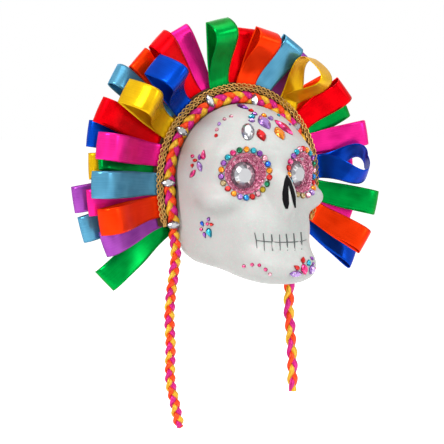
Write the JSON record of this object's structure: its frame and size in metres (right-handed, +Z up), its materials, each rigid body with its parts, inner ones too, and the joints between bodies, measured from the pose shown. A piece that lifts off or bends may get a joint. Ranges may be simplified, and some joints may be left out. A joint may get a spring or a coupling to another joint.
{
  "type": "decorative wall skull",
  "caption": "Wall-hung papier-mache skull with glittered face, stone-ringed eyes, a looped satin ribbon headdress and two hanging braids.",
  "frame": {"origin": "middle of the back board's rear face, level with the centre of the headdress arch", "axes": "+Y into the wall, so the face looks towards -Y; +Z up; +X to the viewer's right, the skull's left"},
  "size_m": [0.3454, 0.1167, 0.4018],
  "materials": {
    "painted_pulp": "painted papier-mache with fine glitter, satin",
    "fibreboard": "bare fibreboard, matt",
    "zinc_plate": "zinc plated",
    "stiff_felt": "pressed felt, matt",
    "gold_gimp": "metallic gold cord, woven",
    "satin_braid": "three satin cords, plaited",
    "ribbon_green": "woven satin",
    "ribbon_orange": "woven satin",
    "ribbon_red": "woven satin",
    "ribbon_magenta": "woven satin",
    "ribbon_purple": "woven satin",
    "ribbon_lilac": "woven satin",
    "ribbon_sky": "woven satin",
    "ribbon_royal": "woven satin",
    "ribbon_yellow": "woven satin",
    "pink_glitter": "coarse glitter",
    "clear_stone": "foil-backed acrylic, faceted",
    "mixed_stones": "foil-backed acrylic, faceted, many colours",
    "lilac_stone": "foil-backed acrylic, faceted",
    "red_stone": "foil-backed acrylic, faceted",
    "amber_stone": "foil-backed acrylic, faceted",
    "pink_stone": "foil-backed acrylic, faceted"
  },
  "bodies": {
    "root": {"skull_shell": "painted_pulp", "back_board": "fibreboard", "hanger_plate": "zinc_plate", "hanger_nail_right": "zinc_plate", "hanger_nail_left": "zinc_plate", "headdress_band": "stiff_felt", "gold_trim": "gold_gimp", "crown_braid": "satin_braid", "loop_green_1": "ribbon_green", "loop_purple_1": "ribbon_purple", "loop_orange_1": "ribbon_orange", "loop_sky_1": "ribbon_sky", "loop_magenta_1": "ribbon_magenta", "loop_sky_2": "ribbon_sky", "loop_purple_2": "ribbon_purple", "loop_green_2": "ribbon_green", "loop_yellow_1": "ribbon_yellow", "loop_magenta_2": "ribbon_magenta", "loop_royal_1": "ribbon_royal", "loop_red_1": "ribbon_red", "loop_yellow_2": "ribbon_yellow", "loop_sky_3": "ribbon_sky", "loop_royal_2": "ribbon_royal", "loop_orange_2": "ribbon_orange", "loop_red_2": "ribbon_red", "loop_magenta_3": "ribbon_magenta", "loop_green_3": "ribbon_green", "loop_lilac_1": "ribbon_lilac", "loop_red_3": "ribbon_red", "loop_orange_3": "ribbon_orange", "loop_sky_4": "ribbon_sky", "loop_purple_3": "ribbon_purple", "loop_orange_4": "ribbon_orange", "loop_yellow_3": "ribbon_yellow", "loop_red_4": "ribbon_red", "loop_green_4": "ribbon_green", "loop_magenta_4": "ribbon_magenta", "loop_royal_3": "ribbon_royal", "loop_magenta_5": "ribbon_magenta", "loop_green_5": "ribbon_green", "loop_magenta_6": "ribbon_magenta", "loop_orange_5": "ribbon_orange", "loop_royal_4": "ribbon_royal", "socket_lining_right": "pink_glitter", "eye_gem_right": "clear_stone", "eye_ring_right": "mixed_stones", "socket_lining_left": "pink_glitter", "eye_gem_left": "clear_stone", "eye_ring_left": "mixed_stones", "forehead_stone_clear": "clear_stone", "forehead_stone_lilac": "lilac_stone", "forehead_stone_red": "red_stone", "forehead_stone_amber": "amber_stone", "forehead_stone_pink": "pink_stone"},
    "tail_right": {"tail_right": "satin_braid"},
    "tail_left": {"tail_left": "satin_braid"}
  },
  "joints": [
    {"name": "tail_right_swing", "type": "hinge", "parent": "root", "child": "tail_right", "pos_m": [-0.0756, -0.0181, -0.0458], "axis": [-1, 0, 0], "range_deg": [-1.5, 60]},
    {"name": "tail_left_swing", "type": "hinge", "parent": "root", "child": "tail_left", "pos_m": [0.0756, -0.0181, -0.0458], "axis": [-1, 0, 0], "range_deg": [-1.5, 60]}
  ]
}
